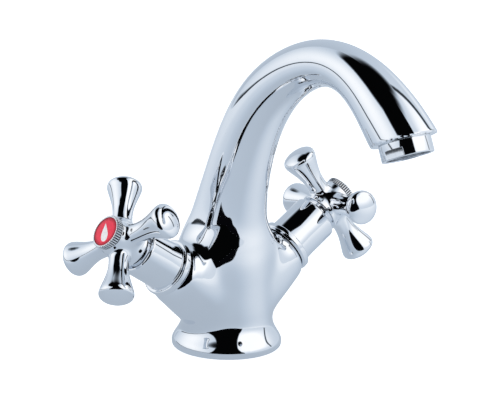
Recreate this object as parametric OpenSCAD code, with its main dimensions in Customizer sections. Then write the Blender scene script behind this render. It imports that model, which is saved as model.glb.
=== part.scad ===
// Two-handle basin mixer: one cast body with a swan-neck spout, two horns that
// carry ceramic-disc headworks with cross handles, and a screw-in aerator.
// Origin: centre of the foot on the deck. +Z up, the spout reaches towards -Y,
// the hot side is at -X and the cold side at +X. All sizes are millimetres.

/* [Foot] */
// Largest diameter of the foot
foot_d = 54; // [46:0.5:64]
// Diameter of the foot where it meets the deck
foot_bottom_d = 52; // [42:0.5:62]
// Height at which the foot is widest
foot_widest_z = 3; // [1.5:0.5:8]
// Diameter of the waist above the foot
waist_d = 45.6; // [38:0.2:56]
// Height of the waist
waist_z = 12.5; // [9:0.5:20]
// Diameter of the belly where the horns leave
belly_d = 46.8; // [40:0.2:56]
// Diameter of the hollow under the foot
cavity_d = 39; // [30:0.5:44]
// Depth of the hollow under the foot
cavity_h = 9; // [5:0.5:12]
// Inner diameter of the groove for the base seal
seal_groove_id = 42; // [36:0.5:48]
// Outer diameter of the groove for the base seal
seal_groove_od = 48.4; // [40:0.2:54]
// Depth of the groove for the base seal
seal_groove_h = 1.6; // [1:0.1:3]
// Diameter of the small drilled hole for a plug chain
chain_hole_d = 2.2; // [1:0.1:4]
// Height of the chain hole above the deck
chain_hole_z = 7.8; // [2:0.1:9]
// Angle of the chain hole from the front towards the hot side
chain_hole_angle = 22; // [0:1:90]

/* [Inlets and studs] */
// Distance of each inlet from the centre
inlet_x = 9.3; // [7:0.1:13]
// Core diameter of the M10 x 1 inlet thread
inlet_d = 9; // [7:0.1:12]
// Length of the inlet thread
inlet_thread_h = 12; // [8:0.5:16]
// Distance of each mounting stud from the centre
stud_y = 13; // [10:0.5:16]
// Core diameter of the M8 stud thread
stud_d = 6.8; // [4:0.1:9]
// Depth of the stud thread
stud_h = 14; // [8:0.5:18]

/* [Horns] */
// Angle of each horn above the horizontal
horn_tilt = 33; // [0:0.5:60]
// Height where the two horn axes meet
horn_z = 21.4; // [15:0.2:30]
// Radius of the horn at its root
horn_root_r = 15.6; // [12:0.1:20]
// Radius of the horn at its end face
horn_end_r = 13.7; // [11:0.1:18]
// Distance from the horn axes' meeting point to the end face
horn_end = 41; // [36:0.5:50]
// Radius of the valve chamber, the mean radius of a G1/2 thread
chamber_r = 10; // [8:0.1:12]
// Distance from the meeting point to the chamber floor
chamber_floor = 24; // [20:0.5:30]

/* [Spout] */
// Height where the neck leaves the belly
neck_z = 55; // [45:0.5:70]
// Distance of the neck's centre behind the origin at that height
neck_y = 0.6; // [0:0.1:5]
// Direction of the neck at its root, degrees above the horizontal
neck_heading = 82.5; // [70:0.5:90]
// Bend radius of the neck
neck_bend_r = 178; // [100:1:400]
// Angle of the neck bend
neck_bend = 16; // [5:0.5:40]
// Bend radius of the shoulder
shoulder_bend_r = 93.5; // [50:0.5:150]
// Angle of the shoulder bend
shoulder_bend = 32.5; // [10:0.5:60]
// Bend radius of the crown
crown_bend_r = 54; // [30:0.5:100]
// Angle of the crown bend
crown_bend = 62; // [30:0.5:120]
// Bend radius of the nose
nose_bend_r = 81; // [40:0.5:200]
// Angle of the nose bend
nose_bend = 22.5; // [5:0.5:60]
// Extra radius of the neck at its root
neck_flare = 5.7; // [0:0.1:10]
// Length over which that extra radius fades
neck_flare_len = 40; // [20:1:80]
// Radius of the neck above the flare
neck_r = 15.4; // [10:0.1:20]
// Radius of the crown, the thinnest place
crown_r = 10.75; // [8:0.05:15]
// Distance along the spout of the thinnest place
crown_at = 135; // [100:1:160]
// Radius of the spout at its mouth
mouth_r = 14.9; // [11:0.1:18]
// Wall thickness of the spout
spout_wall = 3.4; // [2:0.1:6]
// Reach of the mouth centre from the origin
mouth_reach = 126.5; // [90:0.5:180]
// Height of the mouth centre
mouth_z = 126.4; // [80:0.2:200]
// Lean of the mouth, degrees forward from straight down
mouth_lean = 24; // [0:0.5:45]

/* [Bonnet] */
// Radius of the bonnet's rim
bonnet_rim_r = 14.2; // [12:0.1:18]
// Radius of the bonnet sleeve
bonnet_r = 11.9; // [10:0.1:14]
// Distance from the meeting point to the bonnet's back face
bonnet_back = 41.3; // [36:0.1:50]
// Thickness of the bonnet's rim
bonnet_rim_h = 3.7; // [2:0.1:6]
// Distance from the meeting point to the bonnet's nose
bonnet_nose = 66; // [55:0.1:75]
// Radius of the hole in the bonnet's nose
bonnet_hole_r = 8.25; // [5:0.05:10]

/* [Handle] */
// Distance from the meeting point to the middle of the arms
arm_level = 76; // [70:0.5:90]
// Distance from the hub axis to the widest place of an arm
arm_knob_at = 28.9; // [20:0.1:40]
// Distance from the hub axis to an arm's tip
arm_tip = 33; // [24:0.1:45]
// Radius of an arm's slim part
arm_neck_r = 4.85; // [3:0.05:7]
// Radius of an arm's knob
arm_knob_r = 8.6; // [6:0.1:12]
// Turn of the hot handle as it is left, from its axis's upright direction
hot_turn = 33; // [0:1:90]
// Turn of the cold handle as it is left
cold_turn = -10; // [-90:1:90]
// Radius of the hub
hub_r = 9.2; // [7:0.1:12]
// Number of ridges on the index ring
knurl_count = 44; // [20:1:60]
// Radius of the coloured index disc
index_r = 7.24; // [5:0.02:9]

/* [Aerator] */
// Outer diameter of the aerator
aerator_d = 24; // [20:0.5:28]
// Length of the aerator outside the mouth
aerator_h = 7.5; // [4:0.1:14]
// Width across the two spanner flats
aerator_flats = 22; // [18:0.5:24]
// Direction of the flats about the aerator's axis
flats_angle = 161; // [0:1:180]
// Radius of the aerator's opening
aerator_mouth_r = 10; // [7:0.1:11]

/* [Hidden] */
// Number of segments in a round surface
$fn = 64;
// Radius of the foot at its widest
foot_r = foot_d / 2;
// Steps in each easy curve
curve_steps = 10;
// Steps along the spout
spout_steps = 46;
// Sides of a spout section
spout_sides = 32;
// Distance along the spout at the end of each bend
neck_len = neck_bend_r * neck_bend * PI / 180;
shoulder_len = shoulder_bend_r * shoulder_bend * PI / 180;
crown_len = crown_bend_r * crown_bend * PI / 180;
nose_len = nose_bend_r * nose_bend * PI / 180;
spout_len = neck_len + shoulder_len + crown_len + nose_len;
// Running clearance of the stem and its seals
run_gap = 0.06;

// Colours of the parts in the preview
chrome_grey = [0.78, 0.81, 0.86];
brass_yellow = [0.78, 0.62, 0.32];
seal_black = [0.1, 0.1, 0.1];
disc_white = [0.92, 0.92, 0.9];
steel_grey = [0.6, 0.62, 0.64];

// Smooth step from 0 to 1
function ease(t) = (1 - cos(180 * max(0, min(1, t)))) / 2;
// Points of an easy curve in a section, from [r, z] to [r, z]
function easy(from, to) = [for (i = [1:curve_steps])
  [from[0] + (to[0] - from[0]) * ease(i / curve_steps),
   from[1] + (to[1] - from[1]) * i / curve_steps]];

// A bend that starts at p = [y, z, heading]: the place after a length s along it
function bend_at(p, r, s) = let (a = s / r * 180 / PI)
  [p[0] + r * (sin(p[2]) - sin(p[2] - a)),
   p[1] - r * (cos(p[2]) - cos(p[2] - a)),
   p[2] - a];
start_neck = [-neck_y, neck_z, neck_heading];
start_shoulder = bend_at(start_neck, neck_bend_r, neck_len);
start_crown = bend_at(start_shoulder, shoulder_bend_r, shoulder_len);
start_nose = bend_at(start_crown, crown_bend_r, crown_len);
start_end = bend_at(start_nose, nose_bend_r, nose_len);
// A straight run that starts at p, with s negative below the neck
function straight_at(p, s) = [p[0] + s * cos(p[2]), p[1] + s * sin(p[2]), p[2]];
// Place [forward, up, heading] at the distance s along the spout
function spout_at(s) =
  s < 0 ? straight_at(start_neck, s) :
  s < neck_len ? bend_at(start_neck, neck_bend_r, s) :
  s < neck_len + shoulder_len ? bend_at(start_shoulder, shoulder_bend_r, s - neck_len) :
  s < spout_len - nose_len ?
    bend_at(start_crown, crown_bend_r, s - neck_len - shoulder_len) :
  s < spout_len ? bend_at(start_nose, nose_bend_r, s - spout_len + nose_len) :
  straight_at(start_end, s - spout_len);
// Radius of the spout at the distance s
function spout_r(s) = crown_r
  + (neck_r - crown_r) * (1 - ease((s - 30) / (crown_at - 30)))
  + (mouth_r - crown_r) * ease((s - crown_at) / (spout_len - crown_at))
  + neck_flare * pow(max(0, 1 - max(s, 0) / neck_flare_len), 2);
// Ring of points about the spout's centre line
function spout_ring(s, r, sides) = let (p = spout_at(s))
  [for (i = [0:sides - 1]) let (a = 360 * i / sides)
    [r * cos(a), -p[0] + r * sin(a) * sin(p[2]), p[1] + r * sin(a) * cos(p[2])]];

// Outside of the neck and spout, from inside the belly to beyond the mouth
module spout_shape() {
  low = -12;
  high = spout_len + 9;
  rings = [for (k = [0:spout_steps]) let (s = low + (high - low) * k / spout_steps)
    spout_ring(s, spout_r(s), spout_sides)];
  points = [for (ring = rings) for (p = ring) p];
  walls = [for (k = [0:spout_steps - 1]) for (i = [0:spout_sides - 1])
    let (j = (i + 1) % spout_sides, a = k * spout_sides, b = a + spout_sides)
    [a + i, b + i, b + j, a + j]];
  first = [for (i = [0:spout_sides - 1]) i];
  last = [for (i = [0:spout_sides - 1])
    (spout_steps + 1) * spout_sides - 1 - i];
  polyhedron(points, concat(walls, [first, last]), convexity = 6);
}

// Round water way along a bend that starts at p = [forward, up, heading],
// drawn one degree longer at both ends so that the ways run into each other
module bend_way(p, bend_r, bend, r) {
  translate([0, -p[0] - bend_r * sin(p[2]), p[1] - bend_r * cos(p[2])])
    rotate([90, 0, -90])
      rotate([0, 0, p[2] - bend + 89])
        rotate_extrude(angle = bend + 2)
          translate([bend_r, 0])
            circle(r = r);
}

// Water way through the neck and spout, narrowest in the crown
module spout_way() {
  bend_way(start_neck, neck_bend_r, neck_bend, spout_r(neck_len) - spout_wall);
  bend_way(start_shoulder, shoulder_bend_r, shoulder_bend,
    spout_r(neck_len + shoulder_len) - spout_wall);
  bend_way(start_crown, crown_bend_r, crown_bend, crown_r - spout_wall);
  bend_way(start_nose, nose_bend_r, nose_bend - 3.5, crown_r - 2.2);
}

// Local frame of a horn: +Z out along its axis, origin where the axes meet
module on_horn(side) {
  translate([0, 0, horn_z])
    rotate([0, side * (90 - horn_tilt), 0])
      children();
}

// Local frame of the mouth: +Z out of the spout along the water's way
module at_mouth() {
  translate([0, -mouth_reach, mouth_z])
    rotate([180 - mouth_lean, 0, 0])
      children();
}

// Round bar from one point to another
module bar(from, to, r) {
  d = to - from;
  translate(from)
    rotate([0, acos(d[2] / norm(d)), atan2(d[1], d[0])])
      cylinder(h = norm(d), r = r);
}

// Ring with a rectangular section between two heights
module ring(low, high, outer, inner) {
  difference() {
    translate([0, 0, low])
      cylinder(h = high - low, r = outer);
    translate([0, 0, low - 1])
      cylinder(h = high - low + 2, r = inner);
  }
}

// Toothed bar used for the spline and its socket
module spline(low, high, tip, root, teeth) {
  translate([0, 0, low])
    linear_extrude(height = high - low)
      polygon([for (i = [0:2 * teeth - 1]) let (a = 180 * i / teeth)
        (i % 2 == 0 ? tip : root) * [cos(a), sin(a)]]);
}

// Outside of the foot, waist and belly
module foot_shape() {
  top = neck_z - 3;
  rotate_extrude()
    polygon(concat([[0, 0], [foot_bottom_d / 2 - 0.5, 0], [foot_bottom_d / 2, 0.4]],
      easy([foot_bottom_d / 2, 0.4], [foot_r, foot_widest_z]),
      easy([foot_r, foot_widest_z + 0.8], [waist_d / 2, waist_z]),
      easy([waist_d / 2, waist_z], [belly_d / 2, 30]),
      easy([belly_d / 2, 32], [spout_r(0) - 0.2, top]),
      [[0, top]]));
}

// Outside of one horn
module horn_shape(side) {
  on_horn(side)
    rotate_extrude()
      polygon(concat([[0, 0], [horn_root_r, 0]],
        easy([horn_root_r, 12], [horn_end_r, horn_end - 4]),
        [[horn_end_r, horn_end - 0.4], [horn_end_r - 0.4, horn_end], [0, horn_end]]));
}

// Water ways and valve chamber of one horn
module horn_ways(side) {
  on_horn(side) {
    translate([0, 0, chamber_floor])
      cylinder(h = horn_end - chamber_floor + 1, r = chamber_r);
    translate([0, 0, 9])
      cylinder(h = chamber_floor - 8, r = 4.5);
  }
  translate([side * inlet_x, 0, cavity_h - 1])
    cylinder(h = inlet_thread_h + 1, d = inlet_d);
  translate([side * inlet_x, 0, cavity_h + inlet_thread_h - 1])
    cylinder(h = 7, r = 3.8);
  bar([side * 19.4, 0, 41.1], [side * 7, 0, 60], 3.4);
}

// Cast body with foot, horns and spout in one piece
module body_casting() {
  color(chrome_grey)
    difference() {
      union() {
        foot_shape();
        horn_shape(-1);
        horn_shape(1);
        difference() {
          spout_shape();
          at_mouth()
            translate([-30, -30, 0])
              cube([60, 60, 40]);
        }
      }
      translate([0, 0, -1])
        cylinder(h = cavity_h + 1, d = cavity_d);
      ring(-1, seal_groove_h, seal_groove_od / 2, seal_groove_id / 2);
      for (y = [-stud_y, stud_y])
        translate([0, y, cavity_h - 1])
          cylinder(h = stud_h + 1, d = stud_d);
      horn_ways(-1);
      horn_ways(1);
      spout_way();
      at_mouth()
        translate([0, 0, -6.8])
          cylinder(h = 8, r = 11.75);
      rotate([0, 0, -90 - chain_hole_angle])
        translate([foot_r - 5.8, 0, chain_hole_z])
          rotate([0, 90, 0])
            cylinder(h = 8, d = chain_hole_d);
    }
}

// Flat seal in the groove under the foot, flush with the deck
module base_seal() {
  color(seal_black)
    ring(0, seal_groove_h - 0.1, seal_groove_od / 2 - 0.1, seal_groove_id / 2 + 0.1);
}

// Seal that presses the fixed disc's inlet against the chamber floor
module seat_seal(side) {
  color(seal_black)
    on_horn(side)
      difference() {
        ring(24.02, 27.2, 8.05, 4.6);
        ring(25.2, 26.4, 9, 7.6);
      }
}

// Ceramic disc fixed in the headwork, with one half-moon port
module fixed_disc(side) {
  color(disc_white)
    on_horn(side)
      difference() {
        translate([0, 0, 27.25])
          cylinder(h = 3, r = 8);
        half_moon(26, 32, 5.8, 1);
      }
}

// Half-moon port between two heights, on one side of the middle
module half_moon(low, high, r, way) {
  intersection() {
    translate([0, 0, low])
      cylinder(h = high - low, r = r);
    translate([-r, way > 0 ? 0.8 : -r - 0.8, low])
      cube([2 * r, r, high - low]);
  }
}

// Ceramic disc that turns with the stem; closed where its port faces away
module moving_disc(side) {
  color(disc_white)
    on_horn(side)
      difference() {
        translate([0, 0, 30.28])
          cylinder(h = 3.2, r = 7.95);
        half_moon(29, 34, 5.8, -1);
        translate([-9, -1.6, 32.4])
          cube([18, 3.2, 2]);
      }
}

// Brass headwork screwed into the horn: cartridge, thread, hexagon and neck
module headwork(side) {
  color(brass_yellow)
    on_horn(side)
      difference() {
        union() {
          translate([0, 0, 25.6])
            cylinder(h = 10.6, r = 9.2);
          translate([0, 0, 36])
            cylinder(h = 6.2, r = chamber_r - 0.08);
          translate([0, 0, 42.05])
            cylinder(h = 2, r = 11.4);
          translate([0, 0, 44])
            cylinder(h = 3.6, r = 10.68);
          translate([0, 0, 47.5])
            cylinder(h = 6.5, d = 18 / cos(30), $fn = 6);
          translate([0, 0, 53.9])
            cylinder(h = 7.6, r = 6.4);
        }
        translate([0, 0, 25])
          cylinder(h = 13.2, r = 8.1);
        translate([0, 0, 38])
          cylinder(h = 30, r = 4.6);
        translate([-4, -12, 30.6])
          cube([8, 24, 4.4]);
      }
}

// Washer that seals the headwork's collar on the horn
module gasket(side) {
  color(seal_black)
    on_horn(side)
      ring(41.03, 42.02, 11.3, chamber_r);
}

// Stem: foot that turns the disc, seal grooves, clip groove, spline, tapped end
module stem(side) {
  color(brass_yellow)
    on_horn(side)
      difference() {
        union() {
          intersection() {
            translate([0, 0, 33.51])
              cylinder(h = 4.4, r = 7.9);
            translate([-8, -3.4, 33])
              cube([16, 6.8, 6]);
          }
          translate([-7.2, -1.5, 32.5])
            cube([14.4, 3, 2]);
          translate([0, 0, 37.8])
            cylinder(h = 25, r = 4.6 - run_gap);
          spline(62.7, 73.6, 4, 3.6, 20);
        }
        for (low = [44, 49])
          ring(low, low + 1.7, 6, 3.3);
        ring(61.55, 62.5, 6, 3.6);
        translate([0, 0, 64])
          cylinder(h = 12, r = 2.5);
      }
}

// Two O-rings in the stem's grooves
module stem_o_rings(side) {
  color(seal_black)
    on_horn(side)
      for (middle = [44.85, 49.85])
        translate([0, 0, middle])
          rotate_extrude()
            translate([3.95, 0])
              circle(r = 0.61, $fn = 24);
}

// Spring clip that holds the stem in the headwork
module clip(side) {
  color(steel_grey)
    on_horn(side)
      difference() {
        ring(61.6, 62.4, 6.1, 3.68);
        translate([0, -2, 60])
          cube([8, 4, 4]);
      }
}

// Bonnet sleeve that hides the headwork
module bonnet(side) {
  rim_top = bonnet_back + bonnet_rim_h;
  color(chrome_grey)
    on_horn(side)
      rotate_extrude()
        polygon(concat([[11.55, bonnet_back], [bonnet_rim_r - 0.7, bonnet_back]],
          easy([bonnet_rim_r - 0.7, bonnet_back], [bonnet_rim_r, bonnet_back + 0.8]),
          [[bonnet_rim_r, rim_top - 1]],
          [for (a = [15:15:90]) [bonnet_rim_r - 1 + cos(a), rim_top - 1 + sin(a)]],
          [[bonnet_r + 0.5, rim_top], [bonnet_r, rim_top + 0.6]],
          [for (a = [0:10:90])
            [bonnet_r - 3.4 + 3.4 * cos(a), bonnet_nose - 4.2 + 4.2 * sin(a)]],
          [[bonnet_hole_r, bonnet_nose], [bonnet_hole_r, bonnet_nose - 2.4],
           [10.75, bonnet_nose - 4], [10.75, 44.3], [11.55, 44.3]]));
}

// Outside of one handle arm, along +X from the hub axis
module arm() {
  mid = arm_knob_at * 0.52;
  rotate([0, 90, 0])
    rotate_extrude()
      polygon(concat([[0, 0], [arm_neck_r + 0.5, 0], [arm_neck_r + 0.5, 7]],
        easy([arm_neck_r + 0.5, 7], [arm_neck_r, 12]),
        easy([arm_neck_r, mid], [arm_knob_r - 0.35, arm_knob_at - 1.6]),
        [[arm_knob_r, arm_knob_at]],
        [for (a = [10:10:80])
          [arm_knob_r * cos(a), arm_knob_at + (arm_tip - arm_knob_at) * sin(a)]],
        [[0, arm_tip]]));
}

// Cross handle: hub with a collar, four arms, spline socket and screw seat
module handle(side) {
  turn = side < 0 ? hot_turn : cold_turn;
  color(chrome_grey)
    on_horn(side)
      difference() {
        union() {
          rotate_extrude()
            polygon(concat([[0, 63.2], [7.95, 63.2], [7.95, 68.4], [9.3, 68.4],
              [9.7, 69], [9.6, 69.7]],
              easy([9.6, 69.7], [8.3, 72.4]),
              easy([8.3, 72.4], [hub_r, arm_level]),
              easy([hub_r, arm_level + 1.5], [8.3, 83]),
              [[8, 83.3], [0, 83.3]]));
          for (k = [0:3])
            rotate([0, 0, turn + 90 * k])
              translate([0, 0, arm_level])
                arm();
        }
        spline(62, 74, 4.06, 3.66, 20);
        translate([0, 0, 62])
          cylinder(h = 2.4, r = 6.7);
        translate([0, 0, 73])
          cylinder(h = 6, r = 2.7);
        translate([0, 0, 77])
          cylinder(h = 8, r = 6.4);
      }
}

// Screw that holds the handle on the stem
module handle_screw(side) {
  color(steel_grey)
    on_horn(side)
      difference() {
        union() {
          translate([0, 0, 66.5])
            cylinder(h = 10.8, r = 2.44);
          translate([0, 0, 77.03])
            cylinder(h = 2.5, r = 4.6);
        }
        for (a = [0, 90])
          rotate([0, 0, a])
            translate([-2.6, -0.5, 78.2])
              cube([5.2, 1, 2]);
      }
}

// Knurled ring pressed into the hub
module index_ring(side) {
  color(chrome_grey)
    on_horn(side)
      difference() {
        union() {
          translate([0, 0, 80.2])
            cylinder(h = 3.4, r = 6.3);
          spline(83.35, 85.9, 8.4, 8.05, knurl_count);
          translate([0, 0, 85.8])
            cylinder(h = 0.7, r1 = 8, r2 = 7.8);
        }
        translate([0, 0, 85])
          cylinder(h = 3, r = index_r + 0.05);
        translate([0, 0, 79])
          cylinder(h = 8, r = 4.9);
      }
}

// Coloured disc in the ring's front
module index_disc(side, tint) {
  color(tint)
    on_horn(side)
      rotate_extrude()
        polygon([[0, 85.03], [index_r, 85.03], [index_r, 86.3], [index_r - 0.4, 86.5],
          [index_r / 2, 86.75], [0, 86.8]]);
}

// Aerator housing: thread in the spout, round head with two spanner flats
module aerator_housing() {
  color(chrome_grey)
    at_mouth()
      difference() {
        union() {
          translate([0, 0, -5.5])
            cylinder(h = 6, r = 11.67);
          translate([0, 0, 0.15])
            cylinder(h = aerator_h - 0.65, d = aerator_d);
          translate([0, 0, aerator_h - 0.5])
            cylinder(h = 0.5, d1 = aerator_d, d2 = aerator_d - 0.8);
        }
        translate([0, 0, -6])
          cylinder(h = aerator_h + 5, r = aerator_mouth_r + 0.5);
        translate([0, 0, -6])
          cylinder(h = aerator_h + 8, r = aerator_mouth_r);
        rotate([0, 0, flats_angle])
          for (x = [aerator_flats / 2, -aerator_flats / 2 - 4])
            translate([x, -15, 3.4])
              cube([4, 30, 10]);
      }
}

// Rubber washer between the aerator and the floor of its thread
module aerator_washer() {
  color(seal_black)
    at_mouth()
      ring(-6.75, -5.55, 11.6, 8.6);
}

// Plastic insert that mixes and straightens the water
module aerator_insert() {
  color(disc_white)
    at_mouth()
      difference() {
        union() {
          translate([0, 0, -5.4])
            cylinder(h = 4, r = 10.4);
          translate([0, 0, -1.5])
            cylinder(h = 4.5, r = 9.4);
          translate([0, 0, 2.9])
            cylinder(h = 2.2, r = 10.4);
        }
        translate([0, 0, -6])
          cylinder(h = 4, r = 8.8);
        translate([0, 0, 0.6])
          cylinder(h = 6, r = 8.4);
        for (ring_no = [1:3])
          for (k = [1:6 * ring_no])
            rotate([0, 0, 60 * k / ring_no])
              translate([2.5 * ring_no, 0, -3])
                cylinder(h = 5, r = 0.8, $fn = 16);
      }
}

// Screen of square meshes at the aerator's opening
module aerator_screen() {
  pitch = 2.2;
  color(steel_grey)
    at_mouth()
      difference() {
        translate([0, 0, 5.15])
          cylinder(h = 0.6, r = 10.4);
        for (x = [-4:4])
          for (y = [-4:4])
            if (norm([x, y]) * pitch < 8.9)
              translate([x * pitch - 0.8, y * pitch - 0.8, 4])
                cube([1.6, 1.6, 3]);
      }
}

body_casting();
base_seal();
seat_seal(-1);  // hot_seat_seal
fixed_disc(-1);  // hot_fixed_disc
moving_disc(-1);  // hot_moving_disc
headwork(-1);  // hot_headwork
gasket(-1);  // hot_gasket
stem(-1);  // hot_stem
stem_o_rings(-1);  // hot_stem_o_rings
clip(-1);  // hot_clip
bonnet(-1);  // hot_bonnet
handle(-1);  // hot_handle
handle_screw(-1);  // hot_handle_screw
index_ring(-1);  // hot_index_ring
index_disc(-1, [0.85, 0.12, 0.16]);  // hot_index_disc
seat_seal(1);  // cold_seat_seal
fixed_disc(1);  // cold_fixed_disc
moving_disc(1);  // cold_moving_disc
headwork(1);  // cold_headwork
gasket(1);  // cold_gasket
stem(1);  // cold_stem
stem_o_rings(1);  // cold_stem_o_rings
clip(1);  // cold_clip
bonnet(1);  // cold_bonnet
handle(1);  // cold_handle
handle_screw(1);  // cold_handle_screw
index_ring(1);  // cold_index_ring
index_disc(1, [0.1, 0.3, 0.75]);  // cold_index_disc
aerator_housing();
aerator_washer();
aerator_insert();
aerator_screen();
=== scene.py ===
"""A chrome two-handle basin mixer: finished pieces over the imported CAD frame, with camera and studio.

Shapes are worked out in millimetres in the frame's own directions (the spout reaches towards -Y, the hot
side is -X) and become metres when a mesh is made. The casting and the handles are level surfaces of smooth
distance fields, meshed on a fine grid; everything turned on a lathe is a profile carried round an axis.
"""
from math import atan2, cos, pi, radians, sin

import bmesh
import bpy
import numpy as np
from mathutils import Matrix, Vector


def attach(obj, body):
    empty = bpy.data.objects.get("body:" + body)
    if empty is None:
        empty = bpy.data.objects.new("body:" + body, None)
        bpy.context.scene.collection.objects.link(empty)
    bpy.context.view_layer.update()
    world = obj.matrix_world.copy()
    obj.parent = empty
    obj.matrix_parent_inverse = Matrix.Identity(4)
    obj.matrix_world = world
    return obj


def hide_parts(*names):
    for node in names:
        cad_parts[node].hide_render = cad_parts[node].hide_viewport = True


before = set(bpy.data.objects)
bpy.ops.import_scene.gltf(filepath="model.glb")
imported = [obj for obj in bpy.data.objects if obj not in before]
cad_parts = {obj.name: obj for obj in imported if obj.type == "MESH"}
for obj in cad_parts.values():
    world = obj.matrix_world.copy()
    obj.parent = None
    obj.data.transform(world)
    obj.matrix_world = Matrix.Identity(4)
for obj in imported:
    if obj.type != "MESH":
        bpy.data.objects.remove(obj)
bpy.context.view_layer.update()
MM = 0.001

# ---------------------------------------------------------------- sizes, in mm and degrees
HORN_Z, HORN_TILT, HORN_END = 21.4, 33.0, 41.0
HORN_DROOP = 9.5
CHAMBER_R, CHAMBER_FLOOR = 10.0, 24.0
FOOT_LOW, FOOT_TOP, SPOUT_FROM = -1.5, 50.0, 36.0
CHAIN_HOLE_R, CHAIN_HOLE_Z, CHAIN_HOLE_TURN = 1.1, 7.8, -112.0
MOUTH = (0.0, -126.5, 126.4)
MOUTH_LEAN = 24.0
MOUTH_RIM, MOUTH_SIDE = 0.06, -85.0
HUB_LOW, HUB_HIGH, ARM_LEVEL, ARM_END = 67.0, 85.0, 76.0, 34.0
HOT_TURN, COLD_TURN = 33.0, -10.0
SIDES = {"hot": -1, "cold": 1}


# ---------------------------------------------------------------- curves and smooth unions
def spline(xs, ys):
    """Natural cubic spline through the points, straight beyond both ends, as a function."""
    x, y = np.array(xs, float), np.array(ys, float)
    n, h = len(x), np.diff(x)
    a, b = np.zeros((n, n)), np.zeros(n)
    a[0, 0] = a[-1, -1] = 1
    for i in range(1, n - 1):
        a[i, i - 1:i + 2] = h[i - 1], 2 * (h[i - 1] + h[i]), h[i]
        b[i] = 6 * ((y[i + 1] - y[i]) / h[i] - (y[i] - y[i - 1]) / h[i - 1])
    m = np.linalg.solve(a, b)
    first = (y[1] - y[0]) / h[0] - h[0] * m[1] / 6
    last = (y[-1] - y[-2]) / h[-1] + h[-1] * m[-2] / 6

    def f(t):
        t = np.asarray(t, float)
        u = np.clip(t, x[0], x[-1])
        i = np.clip(np.searchsorted(x, u) - 1, 0, n - 2)
        p, q, hi = u - x[i], x[i + 1] - u, h[i]
        v = (m[i] * q**3 + m[i + 1] * p**3) / (6 * hi)
        v = v + (y[i] / hi - m[i] * hi / 6) * q + (y[i + 1] / hi - m[i + 1] * hi / 6) * p
        return v + np.minimum(t - x[0], 0) * first + np.maximum(t - x[-1], 0) * last
    return f


def rise(x, a, b):
    """0 below a, 1 above b, smooth between."""
    t = np.clip((x - a) / (b - a), 0, 1)
    return t * t * (3 - 2 * t)


def smin(a, b, k):
    """The smaller of two distances, blended over a width k with no kink in its curvature."""
    h = np.maximum(k - np.abs(a - b), 0) / k
    return np.minimum(a, b) - h**3 * k / 6


def smax(a, b, k):
    return -smin(-a, -b, k)


class Tube:
    """The spout: a round tube whose heading comes from its curvature along the way."""

    def __init__(self, y, z, heading, bend, radius, step=0.1):
        self.s = np.arange(bend[0][0], bend[-1][0], step)
        start = np.argmin(abs(self.s))
        turned = np.cumsum(spline(*zip(*bend))(self.s)) * step
        self.h = radians(heading) - (turned - turned[start])
        f, u = np.cumsum(np.cos(self.h)) * step, np.cumsum(np.sin(self.h)) * step
        self.f, self.u = f - f[start] - y, u - u[start] + z
        self.r = spline(*zip(*radius))(self.s)

    def distance(self, p):
        f, u = -p[:, 1], p[:, 2]
        every = slice(0, None, 40)
        away = (f[:, None] - self.f[None, every])**2 + (u[:, None] - self.u[None, every])**2
        s = self.s[every][np.argmin(away, 1)]
        for _ in range(4):
            cf, cu, h = (np.interp(s, self.s, a) for a in (self.f, self.u, self.h))
            s = np.clip(s + (f - cf) * np.cos(h) + (u - cu) * np.sin(h), self.s[0], self.s[-1])
        cf, cu = np.interp(s, self.s, self.f), np.interp(s, self.s, self.u)
        return np.sqrt(p[:, 0]**2 + (f - cf)**2 + (u - cu)**2) - np.interp(s, self.s, self.r)


# ---------------------------------------------------------------- the casting as a distance field
SPOUT = Tube(0.6, 55, 84.2,
             bend=[(-40, .0091), (0, .0091), (35, .0048), (78, .0129), (110, .0133), (141, .0217),
                   (165, .0145), (193, .0024), (205, .0024)],
             radius=[(-40, 21.3), (-15, 21.2), (-8, 21.6), (0, 21.05), (10, 18.8), (20, 17.15), (30, 16.05),
                     (40, 15.3), (60, 14.35), (80, 13.55), (100, 12.4), (120, 11.25), (135, 10.75),
                     (150, 11.25), (160, 12.1), (170, 13.1), (180, 14.1), (190, 14.75), (205, 15.2)])
FOOT_R = spline([-1, 1.2, 3.2, 7, 12.5, 20, 30, 42, 50],
                [26.2, 26.85, 27.05, 25.3, 22.5, 21.8, 21.5, 21.0, 19.5])
HORN_R = spline([0, 14, 26, 33, 36.5, 38.5, 40, 41], [5.0, 13.7, 15.9, 15.5, 15.1, 14.6, 13.7, 12.6])


def slanted(r, curve, t):
    """The distance to a turned shape whose radius follows a curve, made true by the curve's slope."""
    slope = (curve(t + .05) - curve(t - .05)) / .1
    return (r - curve(t)) / np.sqrt(1 + slope**2)


def horn_axis(side):
    a = radians(HORN_TILT)
    return np.array([side * cos(a), 0, sin(a)]), np.array([-side * sin(a), 0, cos(a)])


def outlet():
    """The direction that the water leaves in."""
    lean = radians(MOUTH_LEAN)
    return np.array([0, -sin(lean), -cos(lean)])


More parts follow.
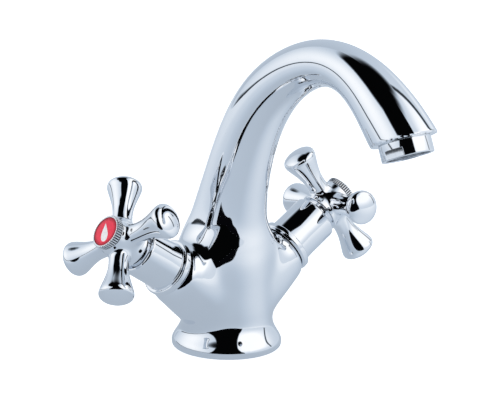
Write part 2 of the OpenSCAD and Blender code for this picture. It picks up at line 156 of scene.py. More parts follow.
def casting(p):
    """Foot and belly, then the spout, then a horn on each side, cut off at the mouth."""
    z, rho = p[:, 2], np.hypot(p[:, 0], p[:, 1])
    d = smax(slanted(rho, FOOT_R, np.clip(z, -1, 60)), z - FOOT_TOP, 8)
    d = smax(d, FOOT_LOW - z, 1)
    d = smin(d, smax(SPOUT.distance(p), SPOUT_FROM - z, 12), 4.7)
    for side in SIDES.values():
        axis, up = horn_axis(side)
        q = p - np.array([0, 0, HORN_Z])
        t = q @ axis
        droop = HORN_DROOP * np.clip(1 - t / HORN_END, 0, 1)**2
        w = np.linalg.norm(q - t[:, None] * axis + up * droop[:, None], axis=1)
        horn = smax(w - HORN_R(np.clip(t, 0, HORN_END)), t - HORN_END - 4, 1.2)
        horn = smax(horn, -t, 8)
        width = (11 + 18 * rise(z, 34, 64)) * (1 - 0.8 * rise(t, 33, 42))
        d = smin(d, horn, width)
    beyond = (p - np.array(MOUTH)) @ outlet()
    return smax(d, np.where(p[:, 1] < MOUTH_SIDE, beyond, -60), 1.4)


# ---------------------------------------------------------------- one handle as a distance field
HUB_R = spline([67, 69, 70.5, 73, 76, 77.5, 83, 85], [10.7, 10.6, 10.1, 9.35, 9.15, 9.15, 8.35, 8.0])
ARM_R = spline([0, 8, 12, 16, 20, 24, 27, 30, 34], [5.4, 5.1, 4.85, 5.0, 5.8, 7.05, 8.05, 8.85, 9.5])
KNOB_TIP, KNOB_DOME_R = 33.0, 16.0


def handle(p):
    """Hub and four arms, in the horn's frame: z along the horn, arms along x and y at ARM_LEVEL."""
    rho, t = np.hypot(p[:, 0], p[:, 1]), p[:, 2]
    middle, half = (HUB_HIGH + HUB_LOW) / 2, (HUB_HIGH - HUB_LOW) / 2
    d = smax(slanted(rho, HUB_R, np.clip(t, HUB_LOW, HUB_HIGH)), np.abs(t - middle) - half, 1)
    lift = t - ARM_LEVEL
    for along, across in ((p[:, 0], p[:, 1]), (p[:, 1], p[:, 0])):
        x, r = np.abs(along), np.hypot(across, lift)
        dome = np.hypot(x - (KNOB_TIP - KNOB_DOME_R), r) - KNOB_DOME_R
        dome = np.where(x > KNOB_TIP - KNOB_DOME_R, dome, r - KNOB_DOME_R)
        d = smin(d, smax(slanted(r, ARM_R, np.clip(x, 0, ARM_END)), dome, 3.4), 3.2)
    return d


# ---------------------------------------------------------------- meshing
def in_parts(field, p, size=120000):
    return np.concatenate([field(p[i:i + size]) for i in range(0, len(p), size)])


def settle(field, v, times):
    """Moves points onto the surface along the field's gradient."""
    e = 0.02
    for _ in range(times):
        f = in_parts(field, v)
        g = np.stack([in_parts(field, v + e * a) - f for a in np.eye(3)], 1) / e
        v = v - (f / np.maximum((g * g).sum(1), 0.2))[:, None] * g
    return v


def skin(field, low, high, step, relax=6, block=8):
    """A quad mesh of the field's zero surface: one point for each grid cell that it crosses."""
    low, high = np.array(low, float), np.array(high, float)
    nb = np.ceil((high - low) / step / block).astype(int)
    n = nb * block
    blocks = np.stack(np.meshgrid(*map(np.arange, nb), indexing="ij"), -1).reshape(-1, 3)
    mid = in_parts(field, low + (blocks + .5) * block * step)
    inside = np.zeros(n + 1, bool)
    inside[:-1, :-1, :-1] = (mid < 0).reshape(nb).repeat(block, 0).repeat(block, 1).repeat(block, 2)
    near = blocks[np.abs(mid) < 1.2 * block * step]
    grid = np.stack(np.meshgrid(*[np.arange(block + 1)] * 3, indexing="ij"), -1).reshape(-1, 3)
    i = (near[:, None] * block + grid[None]).reshape(-1, 3)
    inside[tuple(i.T)] = in_parts(field, low + i * step) < 0
    count = np.zeros(n, np.int8)
    for x in (0, 1):
        for y in (0, 1):
            for z in (0, 1):
                count += inside[x:n[0] + x, y:n[1] + y, z:n[2] + z]
    crossed = (count > 0) & (count < 8)
    cells = np.argwhere(crossed)
    number = np.full(n, -1, np.int64)
    number[crossed] = np.arange(len(cells))
    faces = []
    for a in range(3):
        b, c = (a + 1) % 3, (a + 2) % 3
        change = np.diff(inside.astype(np.int8), axis=a)
        e = np.argwhere(change)
        e = e[(e[:, b] > 0) & (e[:, c] > 0) & (e[:, b] < n[b]) & (e[:, c] < n[c])]
        corners = []
        for ob, oc in ((0, 0), (-1, 0), (-1, -1), (0, -1)):
            j = e.copy()
            j[:, b] += ob
            j[:, c] += oc
            corners.append(number[tuple(j.T)])
        quad = np.stack(corners, 1)
        leaving = change[tuple(e.T)] < 0
        quad[~leaving] = quad[~leaving][:, ::-1]
        faces.append(quad)
    faces = np.concatenate(faces)
    v = settle(field, low + (cells + .5) * step, 3)
    ends = np.concatenate([faces[:, [k, (k + 1) % 4]] for k in range(4)])
    degree = np.bincount(ends[:, 0], minlength=len(v))
    for _ in range(relax):
        mean = np.stack([np.bincount(ends[:, 0], v[ends[:, 1], k], len(v)) for k in range(3)], 1)
        v = settle(field, v + 0.7 * (mean / degree[:, None] - v), 1)
    return settle(field, v, 1), faces


def solid(points, faces):
    bm = bmesh.new()
    verts = [bm.verts.new(p) for p in points]
    for f in faces:
        bm.faces.new([verts[i] for i in f])
    return bm


def cut_and_line(bm, origin, axis, rings, reach):
    """Cuts the skin square to an axis and lines the opening with rings of (radius, level) down to a floor.

    The levels are along the axis from the origin. Only faces within reach of the origin are cut: the reach
    is how far sideways and how far along the axis.
    """
    origin, axis = Vector(origin), Vector(axis).normalized()
    u = axis.orthogonal().normalized()
    w = axis.cross(u)
    geom = set()
    for f in bm.faces:
        c = f.calc_center_median() - origin
        level = c.dot(axis)
        if abs(level) < reach[1] and (c - axis * level).length < reach[0]:
            geom.add(f)
            geom.update(f.edges)
            geom.update(f.verts)
    cut = bmesh.ops.bisect_plane(bm, geom=list(geom), dist=1e-5, plane_co=origin, plane_no=axis,
                                 clear_outer=True)
    rim = [v for v in cut["geom_cut"] if isinstance(v, bmesh.types.BMVert)]

    def angle(v):
        d = v.co - origin
        return atan2(d.dot(w), d.dot(u))
    loop = sorted(rim, key=angle)
    turn = [angle(v) for v in loop]
    n = len(loop)
    for radius, level in rings:
        ring = [bm.verts.new(origin + axis * level + radius * (cos(a) * u + sin(a) * w)) for a in turn]
        for k in range(n):
            bm.faces.new((loop[k], loop[(k + 1) % n], ring[(k + 1) % n], ring[k]))
        loop = ring
    bm.faces.new(loop)


def rounded(points, steps):
    """A closed profile of (radius, level, fillet) with each corner rounded by its own fillet."""
    out = []
    n = len(points)
    for i, (r, t, fillet) in enumerate(points):
        p = np.array([r, t], float)
        if fillet == 0:
            out.append(p)
            continue
        a, b = (np.array(points[j][:2], float) - p for j in ((i - 1) % n, (i + 1) % n))
        la, lb = np.linalg.norm(a), np.linalg.norm(b)
        a, b = a / la, b / lb
        half = np.arccos(np.clip(a @ b, -1, 1)) / 2
        back = min(fillet / np.tan(half), 0.48 * la, 0.48 * lb)
        for k in range(steps + 1):
            x = k / steps
            out.append(p + a * back * (1 - x)**2 + b * back * x**2)
    return out


def lathe(profile, sides, shape=None):
    """Carries a closed profile round the z axis. shape(radius, level, angle) may change the radius."""
    points, faces = [], []
    for r, t in profile:
        for k in range(sides):
            a = 2 * pi * k / sides
            q = shape(r, t, a) if shape else r
            points.append((q * cos(a), q * sin(a), t))
    n = len(profile)
    for i in range(n):
        j = (i + 1) % n
        if profile[i][0] < 1e-6 and profile[j][0] < 1e-6:
            continue
        for k in range(sides):
            m = (k + 1) % sides
            faces.append((i * sides + k, i * sides + m, j * sides + m, j * sides + k))
    return points, faces


def on_horn(side, turn=0.0):
    """From mm along a horn, turned about it by an angle, to metres in the frame."""
    tilt = Matrix.Rotation(radians(side * (90 - HORN_TILT)), 4, "Y")
    place = Matrix.Scale(MM, 4) @ (Matrix.Translation((0, 0, HORN_Z)) @ tilt)
    return place @ Matrix.Rotation(radians(turn), 4, "Z")


def at_mouth():
    """From mm along the outlet to metres in the frame."""
    tilt = Matrix.Rotation(radians(180 - MOUTH_LEAN), 4, "X")
    return Matrix.Scale(MM, 4) @ (Matrix.Translation(Vector(MOUTH)) @ tilt)


def piece(name, bm, place, sharp):
    """Makes an object from a bmesh in mm, smooth except along creases sharper than an angle."""
    bmesh.ops.remove_doubles(bm, verts=bm.verts, dist=1e-4)
    bmesh.ops.dissolve_degenerate(bm, edges=bm.edges, dist=1e-4)
    bmesh.ops.recalc_face_normals(bm, faces=bm.faces)
    bmesh.ops.transform(bm, matrix=place, verts=bm.verts)
    mesh = bpy.data.meshes.new(name)
    bm.to_mesh(mesh)
    bm.free()
    mesh.shade_smooth()
    mesh.set_sharp_from_angle(angle=radians(sharp))
    obj = bpy.data.objects.new(name, mesh)
    bpy.context.scene.collection.objects.link(obj)
    return obj


def drilled(obj, cutters, sharp):
    """Takes the cutters' shapes out of an object."""
    points, faces = [], []
    for p, f in cutters:
        faces += [tuple(i + len(points) for i in q) for q in f]
        points += p
    tool = piece("tool", solid(points, faces), Matrix.Scale(MM, 4), sharp)
    mod = obj.modifiers.new("drill", "BOOLEAN")
    mod.object, mod.operation, mod.solver = tool, "DIFFERENCE", "EXACT"
    graph = bpy.context.evaluated_depsgraph_get()
    mesh = bpy.data.meshes.new_from_object(obj.evaluated_get(graph))
    obj.modifiers.clear()
    old, obj.data = obj.data, mesh
    bpy.data.meshes.remove(old)
    bpy.data.objects.remove(tool)
    mesh.shade_smooth()
    mesh.set_sharp_from_angle(angle=radians(sharp))
    return obj


def rod(profile, axis, origin, sides=40):
    """A closed turned shape from (radius, level) pairs along an axis, for use as a cutter."""
    points, faces = lathe([(0, profile[0][1])] + profile + [(0, profile[-1][1])], sides)
    z = Vector(axis).normalized()
    spin = z.to_track_quat("Z", "Y").to_matrix()
    return [tuple(Vector(origin) + spin @ Vector(p)) for p in points], faces


# ---------------------------------------------------------------- materials
def nodes_of(name, **settings):
    mat = bpy.data.materials.new(name)
    mat.use_nodes = True
    shader = mat.node_tree.nodes["Principled BSDF"]
    for key, value in settings.items():
        shader.inputs[key.replace("_", " ")].default_value = value
    return mat, mat.node_tree, shader


def noise(tree, scale, detail=3.0, rough=0.5):
    place = tree.nodes.new("ShaderNodeTexCoord")
    tex = tree.nodes.new("ShaderNodeTexNoise")
    tex.inputs["Scale"].default_value = scale
    tex.inputs["Detail"].default_value = detail
    tex.inputs["Roughness"].default_value = rough
    tree.links.new(place.outputs["Object"], tex.inputs["Vector"])
    return tex.outputs["Fac"]


def tinted(tree, value, low, high, start=0.3, end=0.7):
    ramp = tree.nodes.new("ShaderNodeValToRGB")
    for stop, position, colour in zip(ramp.color_ramp.elements, (start, end), (low, high)):
        stop.position, stop.color = position, (*colour, 1)
    tree.links.new(value, ramp.inputs["Fac"])
    return ramp.outputs["Color"]


def ranged(tree, value, low, high, start=0.3, end=0.7):
    span = tree.nodes.new("ShaderNodeMapRange")
    for key, v in (("From Min", start), ("From Max", end), ("To Min", low), ("To Max", high)):
        span.inputs[key].default_value = v
    tree.links.new(value, span.inputs["Value"])
    return span.outputs["Result"]


def bumped(tree, shader, value, distance):
    bump = tree.nodes.new("ShaderNodeBump")
    bump.inputs["Distance"].default_value = distance
    tree.links.new(value, bump.inputs["Height"])
    tree.links.new(bump.outputs["Normal"], shader.inputs["Normal"])


def marked(tree, attribute, mottle, share):
    """A value kept on the vertices, made uneven by a share of a mottle."""
    source = tree.nodes.new("ShaderNodeAttribute")
    source.attribute_name = attribute
    add = tree.nodes.new("ShaderNodeMath")
    add.operation = "MULTIPLY_ADD"
    add.inputs[1].default_value = share
    tree.links.new(mottle, add.inputs[0])
    tree.links.new(source.outputs["Fac"], add.inputs[2])
    return add.outputs[0]


def finish(name, low, high, rough, scale, bump, bump_scale, metal=0.0):
    """A procedural finish: mottled colour, uneven roughness and a fine surface texture."""
    mat, tree, shader = nodes_of(name, Metallic=metal)
    base = noise(tree, scale)
    fine = noise(tree, bump_scale, 4.0, 0.6)
    tree.links.new(tinted(tree, base, low, high), shader.inputs["Base Color"])
    tree.links.new(ranged(tree, fine, *rough), shader.inputs["Roughness"])
    bumped(tree, shader, fine, bump)
    return mat


CHROME = finish("chrome_plate", (0.86, 0.885, 0.92), (0.90, 0.915, 0.94), (0.012, 0.05), 35, 1.2e-6, 260,
                1.0)
BRIGHT = finish("chrome_turned", (0.85, 0.875, 0.91), (0.90, 0.915, 0.94), (0.03, 0.09), 60, 2e-6, 420, 1.0)
BRASS = finish("brass_machined", (0.55, 0.36, 0.12), (0.72, 0.50, 0.20), (0.18, 0.34), 90, 1e-5, 900, 1.0)
STEEL = finish("steel_wire", (0.33, 0.35, 0.38), (0.52, 0.54, 0.57), (0.16, 0.32), 140, 4e-6, 1500, 1.0)
RUBBER = finish("rubber_black", (0.012, 0.012, 0.013), (0.03, 0.03, 0.031), (0.5, 0.75), 160, 2e-5, 1200)
CERAMIC = finish("ceramic_white", (0.78, 0.77, 0.72), (0.86, 0.85, 0.81), (0.08, 0.2), 120, 2e-6, 900)
PLASTIC = finish("plastic_grey", (0.28, 0.30, 0.33), (0.36, 0.38, 0.41), (0.3, 0.45), 110, 6e-6, 1400)
WHITE_ENAMEL = finish("enamel_white", (0.90, 0.89, 0.89), (0.97, 0.96, 0.96), (0.2, 0.35), 700, 4e-6, 2600)


def enamel(name, deep, pale):
    """Poured enamel, faintly mottled, under a clear coat, with painted shade that darkens it towards the
    rim.
    """
    mat, tree, shader = nodes_of(name, Coat_Weight=0.1, Coat_Roughness=0.1, Specular_IOR_Level=0.25)
    mottle = noise(tree, 420, 4.0, 0.6)
    # Painted shade: the colour runs from the pale tone in the middle to the deep one at the rim.
    tone = tinted(tree, marked(tree, "edge", mottle, 0.14), pale, deep, 0.80, 1.12)
    tree.links.new(tone, shader.inputs["Base Color"])
    tree.links.new(ranged(tree, mottle, 0.14, 0.3), shader.inputs["Roughness"])
    bumped(tree, shader, mottle, 6e-6)
    return mat


def knurled_plate():
    """Bright plate with painted shade in the grooves between the ridges: nearly black at the bottom of each
    groove.
    """
    mat, tree, shader = nodes_of("chrome_knurled_groove_shade", Metallic=1.0)
    fine = noise(tree, 420, 4.0, 0.6)
    # Painted shade: the base colour falls to nearly black with the depth in each groove.
    tone = tinted(tree, marked(tree, "groove_shade", fine, 0.1), (0.87, 0.89, 0.92), (0.04, 0.045, 0.055), 0.2, 0.7)
    tree.links.new(tone, shader.inputs["Base Color"])
    tree.links.new(ranged(tree, fine, 0.04, 0.1), shader.inputs["Roughness"])
    bumped(tree, shader, fine, 2e-6)
    return mat


KNURLED = knurled_plate()
# The first colour of each enamel is its painted shade at the rim, the second its own colour.
RED = enamel("enamel_red", (0.45, 0.008, 0.025), (0.93, 0.04, 0.085))
BLUE = enamel("enamel_blue", (0.008, 0.03, 0.22), (0.03, 0.16, 0.62))

# ---------------------------------------------------------------- the pieces
def built(obj, material, body, slot, *nodes):
    """Gives a piece its material, the body that it rides on and the CAD nodes it stands for. The slot is
    not used.
    """
    obj.data.materials.clear()
    obj.data.materials.append(material)
    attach(obj, body)
    if nodes:
        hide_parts(*nodes)


def mark(obj, side, name, value):
    """Keeps a value on every vertex, worked out from its radius and level on the horn in mm."""
    back = on_horn(side).inverted()
    kept = obj.data.attributes.new(name, "FLOAT", "POINT")
    for i, v in enumerate(obj.data.vertices):
        q = back @ v.co
        kept.data[i].value = value((q.x**2 + q.y**2)**0.5, q.z)


def make_casting():
    points, faces = skin(casting, (-54, -152, -3), (54, 30, 168), 0.8)
    bm = solid(points, faces.tolist())
    # Under the foot: a rounded edge, the seal's groove and the hollow.
    cut_and_line(bm, (0, 0, 1.0), (0, 0, -1),
                 [(26.5, .3), (26.2, .62), (25.9, .82), (25.5, .95), (25.2, 1.0), (24.2, 1.0), (24.2, -.6),
                  (21, -.6), (21, 1.0), (19.8, 1.0), (19.6, .95), (19.5, .8), (19.5, -7.6), (19.4, -7.9),
                  (19.1, -8.0), (14, -8.0), (7, -8.0), (2, -8.0)], (32, 6))
    # In each horn: the rim, the chamber down to its floor and the water way.
    for side in SIDES.values():
        axis, _ = horn_axis(side)
        rim = HORN_END - 0.3
        base = np.array([0, 0, HORN_Z]) + axis * rim
        deep = rim - CHAMBER_FLOOR
        cut_and_line(bm, base, axis,
                     [(12.7, .22), (12.3, .3), (10.3, .3), (10.05, .2), (CHAMBER_R, 0), (CHAMBER_R, -deep),
                      (4.5, -deep), (4.5, -deep - 8)], (19, 8))
    # In the mouth: the lip, the aerator's seat and the water way.
    cut_and_line(bm, np.array(MOUTH) - MOUTH_RIM * outlet(), outlet(),
                 [(13.3, MOUTH_RIM), (12.1, MOUTH_RIM), (11.9, 0), (11.75, -.2), (11.75, -6.74),
                  (8.6, -6.74), (7.6, -16), (4, -16)], (20, 9))
    body = piece("casting_skin", bm, Matrix.Scale(MM, 4), 30)
    # Two inlets, two stud holes and the chain's hole.
    cutters = [rod([(4.1, 8), (4.5, 9.6), (4.5, 21)], (0, 0, 1), (x, 0, 0)) for x in (-9.3, 9.3)]
    cutters += [rod([(3.4, 8), (3.4, 23)], (0, 0, 1), (0, y, 0)) for y in (-13, 13)]
    a = radians(CHAIN_HOLE_TURN)
    aim = Vector((cos(a), sin(a), 0))
    start = Vector((0, 0, CHAIN_HOLE_Z)) + aim * 21.2
    cutters.append(rod([(CHAIN_HOLE_R, 0), (CHAIN_HOLE_R, 12)], aim, start))
    return drilled(body, cutters, 30)


built(make_casting(), CHROME, "mixer", "chrome", "body_casting")


def make_handle():
    """One cross, open in front for the index ring and at the back for the sleeve's neck and the stem."""
    points, faces = skin(handle, (-35, -35, 65), (35, 35, 87), 0.5)
    bm = solid(points, faces.tolist())
    cut_and_line(bm, (0, 0, 82.9), (0, 0, 1),
                 [(8.25, .2), (8.1, .34), (7.9, .4), (6.6, .4), (6.4, .25), (6.4, -5.9), (2.7, -5.9),
                  (2.7, -8)], (10.5, 3))
    cut_and_line(bm, (0, 0, 68.8), (0, 0, -1),
                 [(10.5, .25), (10.25, .37), (9.9, .4), (8.05, .4), (7.95, .5), (7.95, 5.2), (7.85, 5.5),
                  (7.6, 5.6), (6.7, 5.6), (6.7, 4.4), (4.06, 4.4), (4.06, -4.6)], (11.5, 3.5))
    bmesh.ops.recalc_face_normals(bm, faces=bm.faces)
    mesh = bpy.data.meshes.new("handle_form")
    bm.to_mesh(mesh)
    bm.free()
    return mesh


handle_form = make_handle()
for name, side in SIDES.items():
    bm = bmesh.new()
    bm.from_mesh(handle_form)
    cross = piece(name + "_cross", bm, on_horn(side, HOT_TURN if side < 0 else COLD_TURN), 30)
    built(cross, CHROME, name + "_handle_set", "chrome", name + "_handle")
bpy.data.meshes.remove(handle_form)

BONNET = rounded([(11.55, 41.3, .15), (13.4, 41.3, .5), (14.2, 42.3, .8), (14.1, 45.0, 1.3),
                  (12.1, 45.0, .5), (11.9, 52, 0), (11.9, 66, 3.2), (8.25, 66, .25), (8.25, 63.6, 0),
                  (10.75, 62, 0), (10.75, 44.3, 0), (11.55, 44.3, 0)], 8)
for name, side in SIDES.items():
    sleeve = piece(name + "_sleeve", solid(*lathe(BONNET, 160)), on_horn(side), 34)
    built(sleeve, CHROME, "mixer", "chrome", name + "_bonnet")

RING_R, RING_LOW, RING_TOP = 8.38, 83.36, 86.5
RIDGES, RIDGE_DEPTH = 44, 0.48
RING = rounded([(4.9, 80.2, 0), (6.3, 80.2, .2), (6.3, RING_LOW, 0), (RING_R, RING_LOW, .15),
                (RING_R, 86.2, .3), (8.0, RING_TOP, .2), (7.29, RING_TOP, .15), (7.29, 85.0, 0),
                (4.9, 85.0, 0)], 4)


def knurled(r, t, a):
    """Ridges on the ring's side, fading out at its bevels."""
    if r < 7.9 or t < 83.5:
        return r
    return r - RIDGE_DEPTH * (1 - abs(sin(RIDGES / 2 * a)))**1.2


def groove(r, t):
    """How deep a point lies in a groove, from 0 on a ridge to 1 at the bottom."""
    return max(0.0, (RING_R - r) / RIDGE_DEPTH) if 83.5 < t < 86.1 else 0.0


for name, side in SIDES.items():
    ring = piece(name + "_knurled_ring", solid(*lathe(RING, 528, knurled)), on_horn(side), 30)
    # The depth in each groove is kept for the painted shade in the grooves.
    mark(ring, side, "groove_shade", groove)
    built(ring, KNURLED, name + "_handle_set", "chrome", name + "_index_ring")

DISC_R, DISC_RIM, DISC_Z, DISC_CROWN = 7.24, 6.95, 86.33, 0.45


def make_disc(name, side):
    """The index's enamelled disc, crowned inside its rim."""
    levels = [(7.22, 85.03), (DISC_R, 85.2), (DISC_R, 86.05), (7.16, 86.22), (DISC_RIM, DISC_Z)]
    levels += [(DISC_RIM * (1 - k / 14), DISC_Z + DISC_CROWN * (1 - (1 - k / 14)**2)) for k in range(1, 14)]
    profile = [(0.0, 85.03)] + levels + [(0.0, 86.79)]
    disc = piece(name, solid(*lathe(profile, 96)), on_horn(side), 40)
    # The radius is kept for the painted shade at the disc's rim.
    mark(disc, side, "edge", lambda r, t: min(1.0, r / DISC_R))
    return disc


def make_drop(name, side, turn):
    """A plain water drop, domed, standing a little proud of the disc."""
    outline = []
    for k in range(64):
        a = 2 * pi * k / 64
        x, y = sin(a), cos(a)
        width = 3.1 * (0.5 - 0.5 * y)**0.72
        outline.append((x * width, -0.5 + 5.0 * y))
    points, faces = [], []
    fractions = (1.0, 0.97, 0.85, 0.6, 0.3)
    for f in fractions:
        for x, y in outline:
            q = (x * f, (y + 0.8) * f - 0.8)
            rho = (q[0]**2 + q[1]**2)**0.5 / DISC_RIM
            proud = -0.12 if f == 1.0 else 0.05 + 0.06 * (1 - f)
            points.append((*q, DISC_Z + DISC_CROWN * (1 - rho**2) + proud))
    n = len(outline)
    last = (len(fractions) - 1) * n
    for i in range(0, last, n):
        faces += [(i + k, i + (k + 1) % n, i + n + (k + 1) % n, i + n + k) for k in range(n)]
    faces += [tuple(range(last, last + n)), tuple(range(n))[::-1]]
    return piece(name, solid(points, faces), on_horn(side, turn), 50)


for name, side in SIDES.items():
    disc = make_disc(name + "_enamel", side)
    built(disc, RED if side < 0 else BLUE, name + "_handle_set", name + "_index", name + "_index_disc")
    drop = make_drop(name + "_drop", side, 90 * side + 30)
    built(drop, WHITE_ENAMEL, name + "_handle_set", name + "_index")

# The aerator's housing, with two spanner flats that start a little below its shoulder.
HOUSING_R, FLATS, FLATS_ANGLE = 12.0, 22.0, radians(161)
HOUSING = rounded([(10.5, -5.5, .2), (11.67, -5.5, .3), (11.67, 0.15, 0), (HOUSING_R, 0.15, .2),
                   (HOUSING_R, 3.4, 0), (HOUSING_R, 3.5, 0), (HOUSING_R, 7.5, .45), (10.0, 7.5, .3),
                   (10.0, 6.5, 0), (10.5, 6.5, 0)], 5)


def flatted(r, s, a):
    if r < 11 or s < 3.45:
        return r
    c = abs(cos(a - FLATS_ANGLE))
    return min(r, FLATS / 2 / max(c, 1e-3) - (HOUSING_R - r) * 0.8)


shell = piece("aerator_shell", solid(*lathe(HOUSING, 240, flatted)), at_mouth(), 24)
built(shell, BRIGHT, "mixer", "chrome", "aerator_housing")


def make_screen():
    """Woven wire: two sets of round wires that pass over and under each other, cut to a disc."""
    pitch, thick, wave, level, radius = 1.15, 0.17, 0.15, 5.45, 10.35
    points, faces = [], []
    count = int((radius - wave) // pitch)
    for way in (0, 1):
        for row in range(-count, count + 1):
            c = row * pitch
            half = (radius**2 - c * c)**0.5
            steps = max(8, int(half * 2 / 0.25))
            first = len(points)
            for k in range(steps + 1):
                x = -half + 2 * half * k / steps
                z = level + wave * cos(pi * x / pitch) * (1 if (row + way) % 2 else -1)
                for j in range(8):
                    b = 2 * pi * j / 8
                    q = (x, c + thick * cos(b), z + thick * sin(b))
                    points.append(q if way == 0 else (q[1], q[0], q[2]))
            for k in range(steps):
                for j in range(8):
                    m = (j + 1) % 8
                    a = first + k * 8
                    faces.append((a + j, a + m, a + 8 + m, a + 8 + j))
            faces.append(tuple(first + j for j in range(8)))
            faces.append(tuple(first + steps * 8 + j for j in range(8)))
    return piece("aerator_weave", solid(points, faces), at_mouth(), 60)


built(make_screen(), STEEL, "mixer", "steel", "aerator_screen")

# The CAD nodes that stay, each in its own material.
KEPT = {"base_seal": RUBBER, "seat_seal": RUBBER, "gasket": RUBBER, "stem_o_rings": RUBBER,
        "fixed_disc": CERAMIC, "moving_disc": CERAMIC, "headwork": BRASS, "stem": BRASS, "clip": STEEL,
        "handle_screw": STEEL, "aerator_washer": RUBBER, "aerator_insert": PLASTIC}
for node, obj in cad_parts.items():
    plain = node.split("_", 1)[1] if node.split("_")[0] in SIDES else node
    if plain in KEPT:
        if not obj.data.materials:
            obj.data.materials.append(KEPT[plain])
        for i in range(len(obj.material_slots)):
            obj.material_slots[i].material = KEPT[plain]


# ---------------------------------------------------------------- the studio
def glow(name, colour, attribute=None):
    """Plain light of one colour, or of the colours kept on the vertices."""
    mat = bpy.data.materials.new(name)
    mat.use_nodes = True
    tree = mat.node_tree
    tree.nodes.clear()
    out = tree.nodes.new("ShaderNodeOutputMaterial")
    lamp = tree.nodes.new("ShaderNodeEmission")
    lamp.inputs["Color"].default_value = (*colour, 1)
    if attribute:
        source = tree.nodes.new("ShaderNodeAttribute")
        source.attribute_name = attribute
        tree.links.new(source.outputs["Color"], lamp.inputs["Color"])
    tree.links.new(lamp.outputs["Emission"], out.inputs["Surface"])
    return mat


def stage_mesh(name, points, faces, material, camera=False):
    """A piece of the studio, which is no part of the mixer."""
    mesh = bpy.data.meshes.new(name)
    mesh.from_pydata(points, [], faces)
    mesh.materials.append(material)
    obj = bpy.data.objects.new(name, mesh)
    bpy.context.scene.collection.objects.link(obj)
    obj.visible_camera = camera
    return obj


CHROME_SHARE = 0.89
BLACK_LEVEL = 12


def light(level):
    """Scene light that plated chrome shows as a display level from 0 to 255: bluer as it gets darker."""
    level = np.asarray(level, float)
    cool = np.clip((255 - level) / 60, 0, 1)
    rgb = np.stack([level * (1 + tint * cool) for tint in (-0.068, -0.008, 0.06)], -1)
    return (rgb / 255)**2.2 / CHROME_SHARE


def bump(x, middle, half):
    """1 in the middle, falling smoothly to 0 at a half width to either side."""
    return np.maximum(0, 1 - ((x - middle) / half)**2)**1.5


def ambient(az):
    """The room's own level, a little brighter towards the front right."""
    return 199 + 16 * np.cos(np.radians(az - 36))


# The near edge of the black cloth on the ground: metres from the foot's middle at each azimuth.
CLOTH_AZ = [-76, -60, -40, -32, -24, -14, -10, -5.5, -2, 1]
CLOTH_EDGE = [0.26, 0.25, 0.24, 0.29, 0.35, 0.44, 0.55, 0.9, 1.4, 5]


def studio_level(az, el):
    """The studio round the mixer as display levels: az 0 is -Y, 90 is +X.

    A large softbox on each side, a black screen in front, a dark ceiling, and dark frame edges.
    """
    level = ambient(az) + 66 * bump(az, -126, 74) * bump(el, 22, 44)
    level = level + 58 * bump(az, 30, 70) * bump(el, 34, 30)
    level = level + 28 * bump(az, 106, 17) * bump(el, 22, 14)
    patch = rise(az, 20, 40) * (1 - rise(az, 86, 89)) * rise(el, 24, 34) * (1 - rise(el, 60, 72))
    level = np.minimum(level + 26 * patch, 255)
    ceiling = np.interp(az, [-180, -150, -130, -110, -95, -84, -60, -10, 0, 60, 90, 180],
                        [60, 50, 49, 47, 48, 42, 42, 60, 76, 78, 70, 66])
    soft = np.interp(az, [-180, -150, -60, 0, 180], [10, 3, 3, 5, 10])
    black = rise(el, ceiling - soft, ceiling + soft)
    left = np.interp(el, [0, 10, 20, 40], [-73, -70, -67, -64])
    right = np.interp(el, [0, 8, 20, 30, 42, 60], [2, 0, -5, -7, -9, -6])
    black = np.maximum(black, rise(az, left - 2, left + 1) * (1 - rise(az, right - 1.5, right + 1)))
    frames = bump(az, 67 + 0.1 * (20 - el), 2.8) * (el > 2) * (el < 30)
    frames = np.maximum(frames, bump(az, 89, 4 + 0.04 * el) * (el > 15.5) * (el < 68))
    frames = np.maximum(frames, bump(el, 1.0, 2.4) * rise(az, -172, -160) * (az < left))
    black = np.maximum(black, 0.85 * frames)
    return level * (1 - black) + BLACK_LEVEL * black


def coloured(obj, colours):
    """Keeps a colour on every vertex."""
    data = obj.data.color_attributes.new("studio", "FLOAT_COLOR", "POINT")
    full = np.concatenate([colours, np.ones((len(colours), 1))], 1)
    data.data.foreach_set("color", full.astype(np.float32).ravel())


def around(metres, az, z):
    """Points on the ground at distances and azimuths from the foot's middle."""
    a = np.radians(az)
    return np.stack([metres * np.sin(a), -metres * np.cos(a), np.full(len(a), z)], 1).tolist()


def wrapped(rows, cols):
    """Quads between rows of points that go all the way round."""
    return [(j * cols + i, j * cols + (i + 1) % cols, (j + 1) * cols + (i + 1) % cols, (j + 1) * cols + i)
            for j in range(rows) for i in range(cols)]


def make_dome(radius=7.0, step=0.75):
    az = np.arange(-180, 180, step)
    el = np.append(np.arange(-1, 90, step), 90.0)
    a, e = (g.ravel() for g in np.meshgrid(az, el))
    ra, re = np.radians(a), np.radians(e)
    points = radius * np.stack([np.cos(re) * np.sin(ra), -np.cos(re) * np.cos(ra), np.sin(re)], 1)
    dome = stage_mesh("dome", points.tolist(), wrapped(len(el) - 1, len(az)),
                      glow("dome_light", (1, 1, 1), "studio"))
    coloured(dome, light(studio_level(a, e)))


def make_floor(radius=6.0, n=96):
    """The pale floor that the camera sees."""
    disc = [(radius * cos(2 * pi * k / n), radius * sin(2 * pi * k / n), 0.0) for k in range(n)]
    mat, tree, shader = nodes_of("floor_pale", Roughness=0.9)
    base = noise(tree, 3.0)
    tree.links.new(tinted(tree, base, (0.93, 0.93, 0.93), (0.95, 0.95, 0.95)), shader.inputs["Base Color"])
    shader.inputs["Specular IOR Level"].default_value = 0.0
    shader.inputs["Emission Color"].default_value = (1, 1, 1, 1)
    shader.inputs["Emission Strength"].default_value = 0.72
    floor = stage_mesh("floor", disc, [tuple(range(n))], mat, True)
    floor.visible_glossy = False


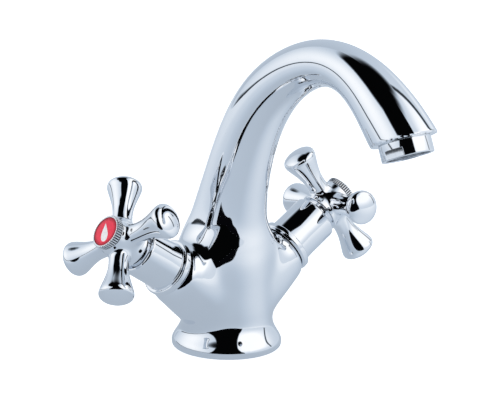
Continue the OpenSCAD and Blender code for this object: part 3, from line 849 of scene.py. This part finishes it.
def make_ground():
    """What the chrome reflects of the ground, a glow with painted light and shade: painted shadow darkens
    it near the foot, painted light brightens it towards the front right, and a black cloth lies in front.
    """
    az = np.arange(-180, 180, 3.0)
    r = np.array([0.001, 0.02, 0.04, 0.07, 0.1, 0.14, 0.2, 0.28, 0.4, 0.6, 1.0, 2.0, 6.0])
    a, d = (g.ravel() for g in np.meshgrid(az, r))
    ground = stage_mesh("floor_reflected", around(d, a, -0.0005), wrapped(len(r) - 1, len(az)),
                        glow("floor_glow", (1, 1, 1), "studio"))
    # Painted shade: darker near the foot, and darker still at the back left where the mixer's shadow falls;
    # painted light makes it brighter towards the front right.
    level = np.interp(np.log(d), np.log([.001, .05, .1, .2, .4, 1, 6]), [173, 182, 187, 192, 204, 211, 213])
    level = level + 24 * bump(a, 42, 56) * rise(d, .02, .08) + 12 * bump(a, -130, 80) * rise(d, .3, 1.2)
    coloured(ground, light(level - 10 * bump(a, -140, 80) * bump(d, .17, .16)))
    ground.visible_diffuse = False
    az = np.linspace(CLOTH_AZ[0], CLOTH_AZ[-1], 155)
    edge = np.exp(np.interp(az, CLOTH_AZ, np.log(CLOTH_EDGE)))
    n = len(az)
    points = around(np.append(edge, np.full(n, 5.9)), np.append(az, az), -0.0002)
    cloth = stage_mesh("dark_ground", points, [(k, k + 1, n + 1 + k, n + k) for k in range(n - 1)],
                       glow("dark_cloth", (0.002, 0.002, 0.003)))
    cloth.visible_diffuse = False


make_dome()
make_floor()
make_ground()


def facing(place, away):
    """A lamp's or camera's matrix at a place, looking back along a direction."""
    return Matrix.Translation(place) @ Vector(away).to_track_quat("Z", "Y").to_matrix().to_4x4()


# A soft lamp on the camera's left that only matt and coloured surfaces show.
fill = bpy.data.lights.new("fill", "AREA")
fill.size, fill.energy = 0.9, 5.0
lamp = bpy.data.objects.new("fill", fill)
bpy.context.scene.collection.objects.link(lamp)
lamp.matrix_world = facing((-1.0, -0.6, 0.8), (-1.0, -0.6, 0.7))
lamp.visible_glossy = False

world = bpy.data.worlds.new("studio")
bpy.context.scene.world = world
world.use_nodes = True
world.node_tree.nodes["Background"].inputs["Color"].default_value = (1, 1, 1, 1)
world.node_tree.nodes["Background"].inputs["Strength"].default_value = 1.0
bpy.context.scene.view_settings.view_transform = "Standard"

# ---------------------------------------------------------------- the camera
lens = bpy.data.cameras.new("camera")
lens.lens, lens.sensor_width = 169.0, 36.0
lens.clip_start, lens.clip_end = 0.05, 50
camera = bpy.data.objects.new("camera", lens)
bpy.context.scene.collection.objects.link(camera)
bpy.context.scene.camera = camera
AZIMUTH, ELEVATION, ROLL = radians(-38.03), radians(13.98), radians(0.93)
AWAY, TARGET = 1.1318, Vector((0.00213, -0.0143, 0.07609))
look = Vector((sin(AZIMUTH) * cos(ELEVATION), -cos(AZIMUTH) * cos(ELEVATION), sin(ELEVATION)))
camera.matrix_world = facing(TARGET + look * AWAY, look) @ Matrix.Rotation(ROLL, 4, "Z")
